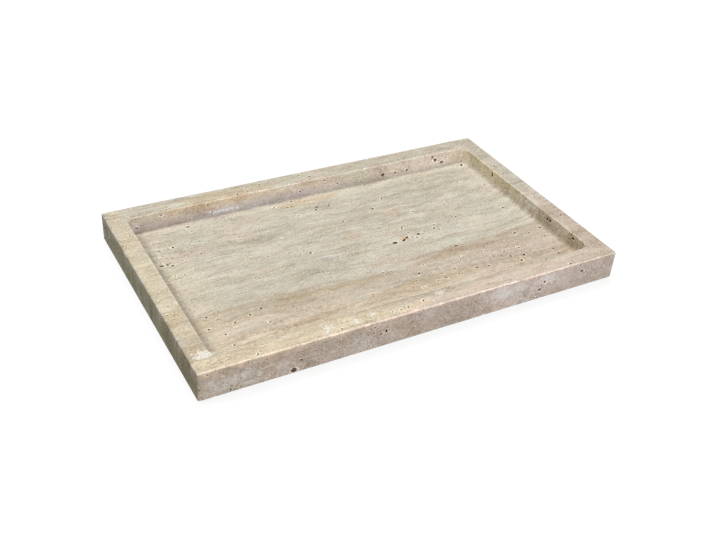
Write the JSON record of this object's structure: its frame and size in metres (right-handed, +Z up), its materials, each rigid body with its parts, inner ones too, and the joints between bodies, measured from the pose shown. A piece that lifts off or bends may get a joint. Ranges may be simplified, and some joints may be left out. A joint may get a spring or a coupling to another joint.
{
  "type": "travertine vanity tray",
  "caption": "Shallow rectangular stone tray with a flat rim round a milled pocket, its floor coved into the walls, standing on small silicone bumper pads.",
  "frame": {"origin": "centre of the tray's outline, at table level, in the plane of the pads' undersides", "axes": "+X along the tray's length, +Z up out of the pocket, -Y the front"},
  "size_m": [0.3, 0.18, 0.0218],
  "materials": {
    "travertine": "honed, unfilled natural pits, pale mineral fillings",
    "silicone": "smooth, slightly milky"
  },
  "bodies": {
    "root": {"stone_tray": "travertine", "bumper_pad_front_left": "silicone", "bumper_pad_front_right": "silicone", "bumper_pad_back_left": "silicone", "bumper_pad_back_right": "silicone"}
  },
  "joints": []
}
